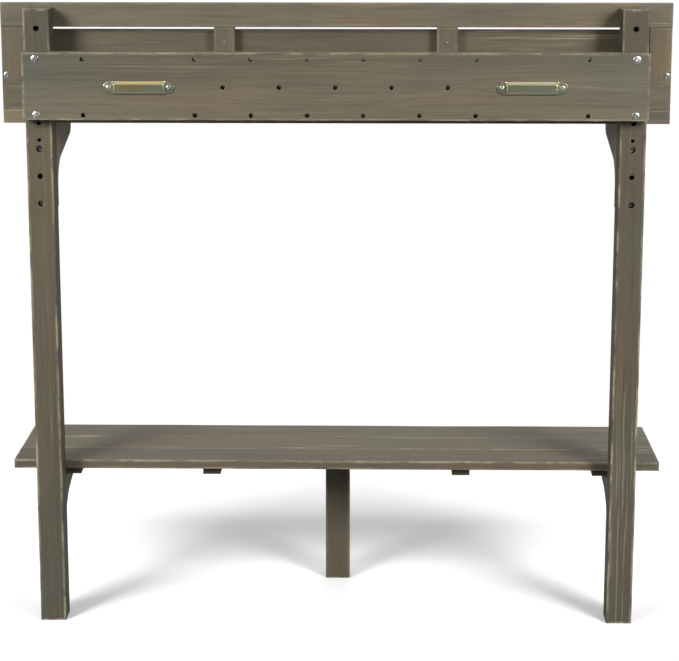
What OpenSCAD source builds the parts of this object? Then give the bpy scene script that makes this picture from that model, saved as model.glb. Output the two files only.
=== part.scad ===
// Potting bench in stained timber, standing on two front posts and one rear leg.
// A board drilled for hooks crosses the posts, a narrow worktop with a framed
// rim lies behind them, and a slatted shelf runs near the floor.
// X is the width, Z is up, and the hook board faces -Y. All sizes are millimetres.

/* [Overall] */
// Width of the worktop and of the frame that stands on it
bench_w = 970; // [960:1:990]
// Width of the lower shelf
shelf_w = 973; // [960:1:990]
// Width over the outer faces of the two posts, and length of the hook board
post_span = 893; // [885:1:905]
// Height of the posts
post_h = 921; // [900:1:930]
// Height of the worktop's underside above the floor
worktop_z = 753; // [748:0.5:756]
// Height of the shelf's underside above the floor
shelf_z = 228; // [220:1:300]

/* [Timber] */
// Side of the square posts and of the rear leg
post = 38; // [36:0.5:42]
// Width of one worktop or shelf board
board_w = 65; // [62:0.5:70]
// Gap between neighbouring boards
board_gap = 0.5; // [0.2:0.1:2]
// Thickness of the worktop boards
worktop_t = 20.5; // [18:0.5:24]
// Thickness of the shelf boards
shelf_t = 14; // [12:0.5:18]
// Radius of the eased long edges
ease = 1.2; // [0.5:0.1:2]

/* [Hook board] */
// Thickness of the hook board
hook_t = 20; // [18:0.5:24]
// Height of the hook board
hook_h = 97; // [92:1:104]
// Height of the hook board's lower edge above the floor
hook_z = 764; // [760:1:770]
// Spacing of the hook holes along each row
hook_pitch = 80; // [70:1:82]
// Distance from the middle row of hook holes to the upper or the lower row
row_pitch = 40; // [35:1:42]
// Diameter of the hook holes
hook_bore = 6.8; // [5:0.1:8]

/* [Handles] */
// Length of a strap handle
handle_len = 101; // [98:1:104]
// Height of a strap handle
handle_h = 18; // [14:0.5:22]
// Distance that a handle stands out from the hook board
handle_rise = 6.5; // [6:0.5:12]
// Thickness of the handle's metal
handle_t = 2; // [1.5:0.1:2.5]
// Distance from the bench's centre to the middle of each handle
handle_x = 280; // [276:1:284]
// Spacing of the two screws in a handle
handle_screw_gap = 86; // [84:1:88]

/* [Frame] */
// Thickness of the frame's rails, stiles and dividers
frame_t = 14; // [12:0.5:16]
// Height of the frame's top rail
top_rail_h = 35; // [32:1:38]
// Height of the frame's bottom rail
bottom_rail_h = 37; // [34:1:40]
// Width of the end stiles
stile_w = 33; // [30:1:35]
// Width of the two dividers
divider_w = 30; // [26:1:34]
// Distance from the bench's centre to the middle of each divider
divider_x = 161; // [150:1:170]
// Height of the frame above the worktop
frame_h = 154; // [150:1:158]
// Thickness of the board behind the frame
backing_t = 10; // [8:0.5:12]
// Height of the board behind the frame
backing_h = 115; // [108:0.5:116]

/* [End panels and brackets] */
// Thickness of the end panels
panel_t = 13; // [12:0.5:16]
// Height of an end panel at the frame
panel_front_h = 148; // [140:1:149]
// Height of an end panel at the rear of the worktop
panel_rear_h = 62; // [50:1:70]
// Reach of the brackets under the worktop
worktop_bracket_len = 140; // [135:1:145]
// Height of the brackets under the worktop
worktop_bracket_h = 123; // [121:1:125]
// Reach of the brackets under the shelf
shelf_bracket_len = 114; // [110:1:118]
// Height of the brackets under the shelf
shelf_bracket_h = 47.5; // [46:0.5:47.5]

/* [Shelf battens] */
// Thickness of the battens under the shelf
batten_t = 14; // [12:0.5:16]
// Width of the two inner battens
batten_w = 27; // [24:1:32]
// Width of the two end battens, which rest on the shelf brackets
end_batten_w = 58.5; // [56:0.5:60]
// Distance from the bench's centre to the middle of each inner batten
batten_x = 189; // [170:1:210]
// Distance from a batten's ends to the shelf's edges
batten_setback = 19; // [16:1:24]

/* [Hidden] */

$fn = 48;

// Colours
stain = "#78705e";
stain_green = "#6e7060";
stain_dark = "#5f5748";
zinc = "#c3c4b8";
beech = "#c9ad7f";

// Depths behind the posts' front faces
deck_d = 3 * board_w + 2 * board_gap;
frame_d = post;
backing_d = post + frame_t;
panel_d = post + frame_t;
deck_rear_d = post + deck_d;
front_y = -(deck_rear_d - hook_t - handle_rise) / 2;

// Heights
worktop_top = worktop_z + worktop_t;
frame_top = worktop_top + frame_h;
bottom_rail_top = worktop_top + bottom_rail_h;
top_rail_z = frame_top - top_rail_h;
hook_mid_z = hook_z + hook_h / 2 - 1.1;
batten_z = shelf_z - batten_t;

// Places across the width
post_x = post_span / 2 - post / 2;
post_inner_x = post_span / 2 - post;
panel_x = bench_w / 2 - panel_t / 2;
hook_row_x = [0.5, 1.5, 2.5, 4.5];
hook_middle_x = [-2, -1, 0, 1, 2];
deck_rows = [0, 1, 2];

// Empty holes down the front of each post: height, diameter and depth
post_holes = [[893, 6, 26], [733, 5.5, 24], [680, 8, 26]];

// Screws: shank radius, head radius, depth of the cone under the head, height of the head
screw_r = 2;
head_r = 5.5;
sink = 3;
crown = 1.2;
small_head_r = 3.6;
recess_r = 5;
bracket_recess = 8;
// Screws from a post into its bracket: height and length
bracket_screws = [[720, 60], [640, 34]];
edge_screw_z = 758.5;
edge_recess = 14;
edge_screw_len = 46;
stile_screw_z = 823;
// Screws in a shelf bracket: reach behind the post, drop of the head and length
shelf_bracket_fixings = [[40, 16, 26], [82, 7, 18]];
divider_screw_z = 871;
dowel_r = 4;
frame_dowel_r = 3;
dowel_len = 30;

// Sweep of the brackets' undersides
sweep_deg = 13.2;
toe_t = 6;

function depth(d) = front_y + d;

// Points along an arc, from one angle to another
function arc(cx, cy, r, from, to, steps = 10) =
    [for (i = [0:steps]) let (a = from + (to - from) * i / steps)
        [cx + r * cos(a), cy + r * sin(a)]];

// Rectangle with eased corners, from its low corner
module eased(w, h, r = ease) {
    translate([r, 0]) square([w - 2 * r, h]);
    translate([0, r]) square([w, h - 2 * r]);
    for (x = [r, w - r], y = [r, h - r]) translate([x, y]) circle(r = r);
}

// Timber along X, from its lowest corner, with its grain and eased edges along X
module timber_x(at, size) {
    translate(at) rotate([90, 0, 90])
        linear_extrude(size[0]) eased(size[1], size[2]);
}

// Timber along Y, from its lowest corner
module timber_y(at, size) {
    translate(at + [0, size[1], 0]) rotate([90, 0, 0])
        linear_extrude(size[1]) eased(size[0], size[2]);
}

// Timber along Z, from its lowest corner
module timber_z(at, size) {
    translate(at) linear_extrude(size[2]) eased(size[0], size[1]);
}

// Blind or through hole running back from a depth
module bore_back(x, d, z, r, len) {
    translate([x, depth(d), z]) rotate([-90, 0, 0]) cylinder(r = r, h = len);
}

// Directions that a screw or a dowel can point in
module back() { rotate([-90, 0, 0]) children(); }
module forward() { rotate([90, 0, 0]) children(); }
module down() { rotate([180, 0, 0]) children(); }

// Space that a countersunk screw fills in the wood, along +Z from the surface
module screw_space(len, r = head_r) {
    cylinder(r1 = r, r2 = screw_r, h = sink);
    cylinder(r = screw_r, h = len);
}

// Countersunk screw with a low crown and a cross recess, along +Z from the surface
module screw(len, r = head_r, raised = crown) {
    difference() {
        union() {
            screw_space(len - 2 * screw_r, r);
            translate([0, 0, len - 2 * screw_r])
                cylinder(r1 = screw_r, r2 = 0.4, h = 2 * screw_r);
            translate([0, 0, -raised]) cylinder(r1 = r * 0.8, r2 = r, h = raised);
        }
        for (a = [0, 90]) rotate(a)
            translate([-r * 0.55, -r * 0.11, -raised - 1])
                cube([r * 1.1, r * 0.22, 2.6]);
    }
}

// Dowel with its middle at the origin, along Z
module dowel(r = dowel_r, len = dowel_len) {
    translate([0, 0, -len / 2]) cylinder(r = r, h = len);
}

// Places of the fasteners; each module puts its children there

module at_hook_board_screws() {
    for (x = [-post_x, post_x], z = [-row_pitch, row_pitch])
        translate([x, depth(-hook_t), hook_mid_z + z]) back() children();
}

module at_handle_screws() {
    for (c = [-handle_x, handle_x], s = [-0.5, 0.5])
        translate([c + s * handle_screw_gap, depth(-hook_t - handle_t), hook_mid_z])
            back() children();
}

module at_worktop_edge_screws() {
    for (x = [-post_x, post_x])
        translate([x, depth(edge_recess), edge_screw_z]) back() children();
}

module at_post_bracket_screws(z) {
    for (x = [-post_x, post_x])
        translate([x, depth(bracket_recess), z]) back() children();
}

module post_bracket_screw_spaces() {
    for (s = bracket_screws) at_post_bracket_screws(s[0])
        screw_space(s[1], recess_r - 0.4);
}

module at_worktop_bracket_screws() {
    for (x = [-post_x, post_x], row = [0, 1])
        translate([x, depth(post + (row + 0.5) * board_w), worktop_top])
            down() children();
}

module at_stile_screws() {
    for (x = [-panel_x, panel_x])
        translate([x, depth(frame_d), stile_screw_z]) back() children();
}

module at_divider_screws() {
    for (x = [-divider_x, divider_x])
        translate([x, depth(frame_d), divider_screw_z]) back() children();
}

module at_backing_board_screws() {
    for (x = [-0.4, -0.24, -0.08, 0.08, 0.24, 0.4])
        translate([x * bench_w, depth(backing_d + backing_t),
            worktop_top + bottom_rail_h * 0.6]) forward() children();
}

module at_upper_frame_post_screws() {
    for (x = [-post_x, post_x])
        translate([x, depth(backing_d), top_rail_z + 12]) forward() children();
}

module at_lower_frame_post_screws() {
    for (x = [-post_x, post_x])
        translate([x, depth(backing_d + backing_t), worktop_top + bottom_rail_h / 2])
            forward() children();
}

module at_frame_base_screws() {
    for (x = [-0.34, -0.12, 0.12, 0.34])
        translate([x * bench_w, depth(frame_d + frame_t / 2), worktop_z]) children();
}

module at_end_panel_screws() {
    for (x = [-panel_x, panel_x], row = deck_rows)
        translate([x, depth(post + 27 + row * (board_w + board_gap)), worktop_z])
            children();
}

module at_shelf_batten_screws() {
    for (x = [-batten_x, batten_x, -post_inner_x + 9, post_inner_x - 9], row = deck_rows)
        translate([x, depth(post + board_w / 2 + row * (board_w + board_gap)), batten_z])
            children();
}

// The shelf bracket screws start in flat recesses in the bracket's sloping underside
module at_shelf_bracket_screws(s) {
    for (x = [-post_x, post_x])
        translate([x, depth(post + s[0]), batten_z - s[1]]) children();
}

module shelf_bracket_screw_spaces() {
    for (s = shelf_bracket_fixings) at_shelf_bracket_screws(s) {
        screw_space(s[2], small_head_r);
        translate([0, 0, -30]) cylinder(r = 4.4, h = 30);
    }
}

module at_shelf_bracket_dowels() {
    for (x = [-post_x, post_x])
        translate([x, depth(post), batten_z - 14]) back() children();
}

module at_rear_leg_dowels() {
    for (x = [-9, 9])
        translate([x, depth(rear_leg_d() + post / 2), shelf_z]) children();
}

module at_worktop_dowels() {
    for (x = [-0.42, -0.14, 0.14, 0.42], row = [1, 2])
        translate([x * bench_w, depth(post + row * (board_w + board_gap) - board_gap / 2),
            worktop_z + worktop_t / 2]) back() children();
}

module at_frame_dowels() {
    stile_x = bench_w / 2 - stile_w / 2;
    for (x = [-stile_x, -divider_x, divider_x, stile_x], z = [bottom_rail_top, top_rail_z])
        translate([x, depth(frame_d + frame_t / 2), z]) children();
}

function rear_leg_d() = deck_rear_d - 7 - post;

// Posts and rear leg

module front_post(side) {
    difference() {
        timber_z([side * post_x - post / 2, depth(0), 0], [post, post, post_h]);
        for (h = post_holes) bore_back(side * post_x, 0, h[0], h[1] / 2, h[2]);
        translate([side * post_x, depth(0), post_holes[0][0]]) back()
            cylinder(r1 = 4.6, r2 = 3, h = 1.6);
        at_hook_board_screws() screw_space(50);
        bore_back(side * post_x, 0, edge_screw_z, recess_r - 1.2, edge_recess);
        at_worktop_edge_screws() screw_space(edge_screw_len, small_head_r);
        for (s = bracket_screws)
            bore_back(side * post_x, 0, s[0], recess_r, bracket_recess);
        post_bracket_screw_spaces();
        at_upper_frame_post_screws() screw_space(40);
        at_lower_frame_post_screws() screw_space(50);
        at_shelf_bracket_dowels() dowel();
    }
}

module left_post() { color(stain_dark) front_post(-1); }
module right_post() { color(stain_dark) front_post(1); }

module rear_leg() {
    color(stain_dark) difference() {
        timber_z([-post / 2, depth(rear_leg_d()), 0], [post, post, shelf_z]);
        at_rear_leg_dowels() dowel(len = 18);
    }
}

// Hook board and handles

module hook_board() {
    color(stain) difference() {
        timber_x([-post_span / 2, depth(-hook_t), hook_z], [post_span, hook_t, hook_h]);
        for (i = hook_row_x, side = [-1, 1], z = [-row_pitch, row_pitch])
            bore_back(side * i * hook_pitch, -hook_t - 1, hook_mid_z + z,
                hook_bore / 2, hook_t + 2);
        for (i = hook_middle_x)
            bore_back(i * hook_pitch, -hook_t - 1, hook_mid_z, hook_bore / 2, hook_t + 2);
        at_hook_board_screws() screw_space(50);
        at_handle_screws() screw_space(16, small_head_r);
    }
}

// Strap that is flat at both ends and stands out between them
module handle(side) {
    pad = 13.5;
    ramp = 1.5;
    lip = handle_t * 0.9;
    half = handle_len / 2;
    inner = handle_rise - handle_t;
    board_side = [[half, 0], [half - pad, 0], [half - pad - ramp, inner],
        [pad + ramp - half, inner], [pad - half, 0], [-half, 0]];
    front_side = [[-half, handle_t], [pad - half - lip, handle_t],
        [pad + ramp - half - lip, handle_rise], [half - pad - ramp + lip, handle_rise],
        [half - pad + lip, handle_t], [half, handle_t]];
    translate([side * handle_x, depth(-hook_t), hook_mid_z]) difference() {
        intersection() {
            translate([0, 0, -handle_h / 2]) mirror([0, 1, 0])
                linear_extrude(handle_h) polygon(concat(board_side, front_side));
            translate([0, 1, 0]) forward() linear_extrude(handle_rise + 2) union() {
                square([handle_len - handle_h, handle_h], center = true);
                for (x = [-0.5, 0.5]) translate([x * (handle_len - handle_h), 0])
                    circle(d = handle_h);
            }
        }
        for (s = [-0.5, 0.5]) translate([s * handle_screw_gap, -handle_t, 0])
            back() screw_space(16, small_head_r);
    }
}

module left_handle() { color(zinc) handle(-1); }
module right_handle() { color(zinc) handle(1); }

// Worktop

module worktop_board(row) {
    difference() {
        timber_x([-bench_w / 2, depth(post + row * (board_w + board_gap)), worktop_z],
            [bench_w, board_w, worktop_t]);
        at_worktop_edge_screws() screw_space(edge_screw_len, small_head_r);
        at_worktop_bracket_screws() screw_space(44);
        at_frame_base_screws() screw_space(38, small_head_r);
        at_end_panel_screws() screw_space(44, small_head_r);
        at_worktop_dowels() dowel();
    }
}

module worktop_front_board() { color(stain) worktop_board(0); }
module worktop_middle_board() { color(stain) worktop_board(1); }
module worktop_rear_board() { color(stain) worktop_board(2); }

// Frame and the board behind it

module frame_top_rail() {
    color(stain) difference() {
        timber_x([-bench_w / 2, depth(frame_d), top_rail_z], [bench_w, frame_t, top_rail_h]);
        at_upper_frame_post_screws() screw_space(40);
        at_frame_dowels() dowel(frame_dowel_r);
    }
}

module frame_bottom_rail() {
    color(stain) difference() {
        timber_x([-bench_w / 2, depth(frame_d), worktop_top],
            [bench_w, frame_t, bottom_rail_h]);
        at_lower_frame_post_screws() screw_space(50);
        at_backing_board_screws() screw_space(22, small_head_r);
        at_frame_base_screws() screw_space(38, small_head_r);
        at_frame_dowels() dowel(frame_dowel_r);
    }
}

// Upright between the two rails, from its left edge
module frame_upright(x, w) {
    difference() {
        timber_z([x, depth(frame_d), bottom_rail_top],
            [w, frame_t, top_rail_z - bottom_rail_top]);
        at_frame_dowels() dowel(frame_dowel_r);
        at_stile_screws() screw_space(40, small_head_r + 0.6);
        at_divider_screws() screw_space(22, small_head_r);
    }
}

module frame_left_stile() { color(stain) frame_upright(-bench_w / 2, stile_w); }
module frame_right_stile() { color(stain) frame_upright(bench_w / 2 - stile_w, stile_w); }
module frame_left_divider() {
    color(stain_green) frame_upright(-divider_x - divider_w / 2, divider_w);
}
module frame_right_divider() {
    color(stain_green) frame_upright(divider_x - divider_w / 2, divider_w);
}

module backing_board() {
    w = bench_w - 2 * panel_t;
    color(stain_dark) difference() {
        timber_x([-w / 2, depth(backing_d), worktop_top], [w, backing_t, backing_h]);
        at_backing_board_screws() screw_space(22, small_head_r);
        at_lower_frame_post_screws() screw_space(50);
        at_divider_screws() screw_space(22, small_head_r);
    }
}

// End panels

// Outline of a panel: depth from the frame, then height above the worktop. Two equal
// arcs join the high front to the low rear in an ogee.
function panel_outline() =
    let (rear = deck_rear_d - panel_d, drop = panel_front_h - panel_rear_h,
        flat = 34, r = drop / 2, start = flat + r)
    concat([[0, 0]], [[0, panel_front_h]],
        arc(flat, panel_front_h - r, r, 90, 0),
        arc(flat + 2 * r, panel_front_h - r, r, 180, 270),
        arc(rear - 12, panel_rear_h - 12, 12, 90, 0), [[rear, 0]]);

module end_panel(side) {
    difference() {
        translate([side * panel_x - panel_t / 2, depth(panel_d), worktop_top])
            rotate([90, 0, 90]) linear_extrude(panel_t) polygon(panel_outline());
        at_stile_screws() screw_space(40, small_head_r + 0.6);
        at_end_panel_screws() screw_space(44, small_head_r);
    }
}

module left_end_panel() { color(stain) end_panel(-1); }
module right_end_panel() { color(stain) end_panel(1); }

// Brackets

// Outline of a bracket: reach behind the post, then drop below its top. A blunt nose,
// a sloping underside and a concave sweep down to the toe.
function bracket_outline(len, height, toe, line_drop, nose_r, sweep_r, sweep_x) =
    let (rise = tan(sweep_deg), lean = 1 / cos(sweep_deg),
        nose_x = len - nose_r,
        nose_y = line_drop - rise * nose_x - nose_r * lean,
        sweep_y = line_drop - rise * sweep_x + sweep_r * lean,
        meet = 180 + acos((sweep_x - toe) / sweep_r))
    concat([[0, 0], [len, 0]],
        arc(nose_x, nose_y, nose_r, 0, 90 - sweep_deg),
        arc(sweep_x, sweep_y, sweep_r, 270 - sweep_deg, meet, 14),
        [[toe, height], [0, height]]);

module bracket(side, top, outline) {
    translate([side * post_x - post / 2, depth(post), top]) rotate([90, 0, 90])
        linear_extrude(post) mirror([0, 1]) polygon(outline);
}

module worktop_bracket(side) {
    difference() {
        bracket(side, worktop_z, bracket_outline(worktop_bracket_len,
            worktop_bracket_h, toe_t, 62.3, 14, 42, 42 + toe_t));
        post_bracket_screw_spaces();
        at_worktop_bracket_screws() screw_space(44);
    }
}

module shelf_bracket(side) {
    difference() {
        bracket(side, batten_z, bracket_outline(shelf_bracket_len,
            shelf_bracket_h, 1.5, 32, 3, 74, 56));
        shelf_bracket_screw_spaces();
        at_shelf_bracket_dowels() dowel();
    }
}

module left_worktop_bracket() { color(stain_dark) worktop_bracket(-1); }
module right_worktop_bracket() { color(stain_dark) worktop_bracket(1); }
module left_shelf_bracket() { color(stain_dark) shelf_bracket(-1); }
module right_shelf_bracket() { color(stain_dark) shelf_bracket(1); }

// Shelf

module shelf_board(row) {
    difference() {
        timber_x([-shelf_w / 2, depth(post + row * (board_w + board_gap)), shelf_z],
            [shelf_w, board_w, shelf_t]);
        at_shelf_batten_screws() screw_space(24, small_head_r);
        at_rear_leg_dowels() dowel(len = 18);
    }
}

module shelf_front_board() { color(stain) shelf_board(0); }
module shelf_middle_board() { color(stain) shelf_board(1); }
module shelf_rear_board() { color(stain) shelf_board(2); }

module shelf_batten(x, w) {
    difference() {
        timber_y([x - w / 2, depth(post + batten_setback), batten_z],
            [w, deck_d - 2 * batten_setback, batten_t]);
        at_shelf_batten_screws() screw_space(24, small_head_r);
        shelf_bracket_screw_spaces();
    }
}

module shelf_left_end_batten() {
    color(stain_dark) shelf_batten(-(post_span - end_batten_w) / 2, end_batten_w);
}
module shelf_left_batten() { color(stain_dark) shelf_batten(-batten_x, batten_w); }
module shelf_right_batten() { color(stain_dark) shelf_batten(batten_x, batten_w); }
module shelf_right_end_batten() {
    color(stain_dark) shelf_batten((post_span - end_batten_w) / 2, end_batten_w);
}

// Fasteners

module handle_screws() { color(zinc) at_handle_screws() screw(16, small_head_r); }
module hook_board_screws() { color(zinc) at_hook_board_screws() screw(50); }
module worktop_edge_screws() {
    color(zinc) at_worktop_edge_screws() screw(edge_screw_len, small_head_r, 0.4);
}
module post_bracket_screws() {
    for (s = bracket_screws)
        color(zinc) at_post_bracket_screws(s[0]) screw(s[1], recess_r - 0.4, 0.8);
}
module worktop_bracket_screws() {
    color(zinc) at_worktop_bracket_screws() screw(44, raised = 0.2);
}
module stile_screws() {
    color(zinc) at_stile_screws() screw(40, small_head_r + 0.6, 0.8);
}
module divider_screws() { color(zinc) at_divider_screws() screw(22, small_head_r, 0.1); }
module backing_board_screws() {
    color(zinc) at_backing_board_screws() screw(22, small_head_r, 0.4);
}
module frame_post_screws() {
    color(zinc) at_upper_frame_post_screws() screw(40, raised = 0.4);
    color(zinc) at_lower_frame_post_screws() screw(50, raised = 0.4);
}
module frame_base_screws() {
    color(zinc) at_frame_base_screws() screw(38, small_head_r, 0.2);
}
module end_panel_screws() {
    color(zinc) at_end_panel_screws() screw(44, small_head_r, 0.2);
}
module shelf_batten_screws() {
    color(zinc) at_shelf_batten_screws() screw(24, small_head_r, 0.2);
}
module shelf_bracket_screws() {
    for (s = shelf_bracket_fixings)
        color(zinc) at_shelf_bracket_screws(s) screw(s[2], small_head_r, 0.4);
}
module shelf_bracket_dowels() { color(beech) at_shelf_bracket_dowels() dowel(); }
module rear_leg_dowels() { color(beech) at_rear_leg_dowels() dowel(len = 18); }
module worktop_dowels() { color(beech) at_worktop_dowels() dowel(); }
module frame_dowels() { color(beech) at_frame_dowels() dowel(frame_dowel_r); }

left_post();
right_post();
rear_leg();
hook_board();
worktop_front_board();
worktop_middle_board();
worktop_rear_board();
frame_top_rail();
frame_bottom_rail();
frame_left_stile();
frame_right_stile();
frame_left_divider();
frame_right_divider();
backing_board();
left_end_panel();
right_end_panel();
left_worktop_bracket();
right_worktop_bracket();
left_shelf_bracket();
right_shelf_bracket();
shelf_front_board();
shelf_middle_board();
shelf_rear_board();
shelf_left_end_batten();
shelf_left_batten();
shelf_right_batten();
shelf_right_end_batten();
left_handle();
right_handle();
handle_screws();
hook_board_screws();
worktop_edge_screws();
post_bracket_screws();
worktop_bracket_screws();
stile_screws();
divider_screws();
backing_board_screws();
frame_post_screws();
frame_base_screws();
end_panel_screws();
shelf_batten_screws();
shelf_bracket_screws();
shelf_bracket_dowels();
rear_leg_dowels();
worktop_dowels();
frame_dowels();
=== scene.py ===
"""Potting bench in stained timber: the finish of every piece, built round the packed frame."""

import math
from collections import namedtuple

import bmesh
import bpy
from bpy.props import FloatProperty, FloatVectorProperty, IntProperty, PointerProperty
from mathutils import Matrix, Vector, noise


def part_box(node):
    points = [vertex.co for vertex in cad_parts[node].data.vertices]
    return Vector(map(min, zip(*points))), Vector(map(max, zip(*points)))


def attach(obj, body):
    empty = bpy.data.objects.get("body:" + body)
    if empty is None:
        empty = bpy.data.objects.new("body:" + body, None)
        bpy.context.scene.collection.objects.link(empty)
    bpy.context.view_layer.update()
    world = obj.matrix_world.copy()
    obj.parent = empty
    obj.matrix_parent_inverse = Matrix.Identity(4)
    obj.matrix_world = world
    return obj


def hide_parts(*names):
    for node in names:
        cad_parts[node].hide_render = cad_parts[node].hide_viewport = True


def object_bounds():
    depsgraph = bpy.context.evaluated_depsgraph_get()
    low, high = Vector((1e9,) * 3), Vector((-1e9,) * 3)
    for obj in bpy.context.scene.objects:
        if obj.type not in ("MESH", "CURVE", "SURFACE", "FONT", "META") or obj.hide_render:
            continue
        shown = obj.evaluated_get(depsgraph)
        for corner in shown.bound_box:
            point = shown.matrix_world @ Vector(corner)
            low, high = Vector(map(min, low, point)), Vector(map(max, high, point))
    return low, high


bl_info = {
    "name": "Potting Bench",
    "version": (1, 0, 0),
    "blender": (4, 5, 0),
    "location": "View3D > Sidebar > Bench",
    "description": "Builds a stained timber potting bench with strap handles and a hook board",
    "category": "Add Mesh",
}

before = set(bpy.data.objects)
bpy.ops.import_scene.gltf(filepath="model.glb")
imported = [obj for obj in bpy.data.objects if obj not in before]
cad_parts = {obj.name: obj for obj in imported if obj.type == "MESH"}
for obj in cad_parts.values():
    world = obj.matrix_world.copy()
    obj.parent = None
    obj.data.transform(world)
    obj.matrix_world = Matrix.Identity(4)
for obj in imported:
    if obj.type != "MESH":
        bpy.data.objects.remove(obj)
CAD_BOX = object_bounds()

# How the stain took on one timber: tone of the whole piece, shares of green-grey, tan and
# pale torn grain, how much of its arrises is rubbed bare, share of knots, and how much
# lighter and browner it grows towards the high end of its grain. On the posts and the rear
# leg that last drift is painted light and shade: lighter up the posts, darker at the leg's top.
Stained = namedtuple("Stained", "tone green tan pale rub knots lean")
TIMBERS = {
    # Painted light: the posts' last value makes them lighter towards their tops, as if lit from
    # above
    "left_post": Stained(0.62, 0.45, 0.50, 0.20, 0.70, 0.02, 0.45),
    "right_post": Stained(0.60, 0.50, 0.45, 0.25, 0.80, 0.02, 0.35),
    # Painted shade: the rear leg's negative last value darkens its top, where the shelf shades
    # it
    "rear_leg": Stained(0.56, 0.10, 0.45, 0.10, 0.30, 0.00, -0.20),
    "hook_board": Stained(0.98, 0.50, 0.40, 0.18, 0.70, 0.00, 0.00),
    "worktop_front_board": Stained(1.12, 0.15, 0.60, 0.20, 0.30, 0.05, -1.00),
    "worktop_middle_board": Stained(0.95, 0.35, 0.45, 0.30, 0.30, 0.05, 0.00),
    "worktop_rear_board": Stained(0.93, 0.40, 0.40, 0.30, 0.40, 0.05, 0.20),
    "frame_top_rail": Stained(1.07, 0.30, 0.35, 1.00, 0.30, 0.00, 0.20),
    "frame_bottom_rail": Stained(1.00, 0.25, 0.50, 0.50, 0.20, 0.22, 0.10),
    "frame_left_stile": Stained(1.03, 0.35, 0.40, 0.20, 0.15, 0.00, 0.00),
    "frame_right_stile": Stained(1.00, 0.00, 1.00, 0.20, 0.30, 0.00, -0.10),
    "frame_left_divider": Stained(0.98, 0.65, 0.20, 0.20, 0.40, 0.00, 0.00),
    "frame_right_divider": Stained(0.98, 0.55, 0.30, 0.20, 0.40, 0.00, 0.00),
    "backing_board": Stained(0.98, 0.30, 0.40, 0.60, 0.30, 0.02, 0.00),
    "left_end_panel": Stained(0.94, 0.50, 0.35, 0.20, 0.40, 0.02, 0.10),
    "right_end_panel": Stained(0.94, 0.25, 0.60, 0.20, 0.40, 0.02, 0.10),
    "left_worktop_bracket": Stained(1.70, 0.40, 0.25, 0.15, 0.20, 0.00, 0.00),
    "right_worktop_bracket": Stained(1.60, 0.35, 0.30, 0.15, 0.20, 0.00, 0.00),
    "left_shelf_bracket": Stained(0.78, 0.35, 0.30, 0.10, 0.20, 0.00, 0.00),
    "right_shelf_bracket": Stained(0.78, 0.35, 0.30, 0.10, 0.20, 0.00, 0.00),
    "shelf_front_board": Stained(0.72, 0.25, 0.45, 0.90, 0.55, 0.03, 0.00),
    "shelf_middle_board": Stained(0.80, 0.30, 0.40, 0.80, 0.45, 0.00, -0.10),
    "shelf_rear_board": Stained(0.82, 0.35, 0.40, 0.50, 0.30, 0.00, 0.10),
    **{f"shelf_{place}_batten": Stained(0.70, 0.30, 0.30, 0.10, 0.20, 0.00, 0.00)
       for place in ("left_end", "left", "right", "right_end")},
}
DOWELS = ("shelf_bracket_dowels", "rear_leg_dowels", "worktop_dowels", "frame_dowels")
SCREWS = (
    "handle_screws", "hook_board_screws", "worktop_edge_screws", "post_bracket_screws",
    "worktop_bracket_screws", "stile_screws", "divider_screws", "backing_board_screws",
    "frame_post_screws", "frame_base_screws", "end_panel_screws", "shelf_batten_screws",
    "shelf_bracket_screws",
)


class StainSettings(bpy.types.PropertyGroup):
    """Colours of the stained timber"""

    stain: FloatVectorProperty(
        name="Stain", description="Grey-brown of the stained face", subtype="COLOR",
        min=0.0, max=1.0, default=(0.142, 0.119, 0.083))
    tan: FloatVectorProperty(
        name="Tan", description="Brown where the stain is thin", subtype="COLOR",
        min=0.0, max=1.0, default=(0.172, 0.128, 0.076))
    green: FloatVectorProperty(
        name="Green", description="Green-grey where the stain is thick", subtype="COLOR",
        min=0.0, max=1.0, default=(0.108, 0.109, 0.082))
    grain: FloatVectorProperty(
        name="Grain", description="Dark lines of the late wood", subtype="COLOR",
        min=0.0, max=1.0, default=(0.078, 0.063, 0.043))
    knot: FloatVectorProperty(
        name="Knot", description="Heart of a knot", subtype="COLOR",
        min=0.0, max=1.0, default=(0.026, 0.019, 0.013))
    cream: FloatVectorProperty(
        name="Bare wood", description="Bare wood on the rubbed edges and in the torn grain",
        subtype="COLOR", min=0.0, max=1.0, default=(0.36, 0.31, 0.215))
    beech: FloatVectorProperty(
        name="Dowel", description="Plain beech of the dowels", subtype="COLOR",
        min=0.0, max=1.0, default=(0.55, 0.36, 0.19))


class TimberSettings(bpy.types.PropertyGroup):
    """Sizes of what sawing, sanding and wear leave on the timber"""

    arris: FloatProperty(
        name="Arris", description="Radius that the long edges are sanded to",
        unit="LENGTH", min=0.0005, max=0.003, default=0.0012)
    end_arris: FloatProperty(
        name="End arris", description="Width of the chamfer round the ends and the holes",
        unit="LENGTH", min=0.0002, max=0.001, default=0.0005)
    wear_step: FloatProperty(
        name="Wear step", description="Distance between the sections that the wear changes at",
        unit="LENGTH", min=0.01, max=0.1, default=0.022)
    wear_most: FloatProperty(
        name="Most wear", description="How many times its radius an arris is worn to at most",
        min=1.0, max=3.0, default=1.7)
    rub_reach: FloatProperty(
        name="Rub reach", description="How far the rubbed stain reaches on to the faces",
        unit="LENGTH", min=0.001, max=0.01, default=0.004)
    board_dip: FloatProperty(
        name="Board dip", description="How far the shelf boards' upper faces dip",
        unit="LENGTH", min=0.0, max=0.002, default=0.0012)
    ring_gap: FloatProperty(
        name="Ring gap", description="Distance between two growth rings",
        unit="LENGTH", min=0.001, max=0.01, default=0.0042)


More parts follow.
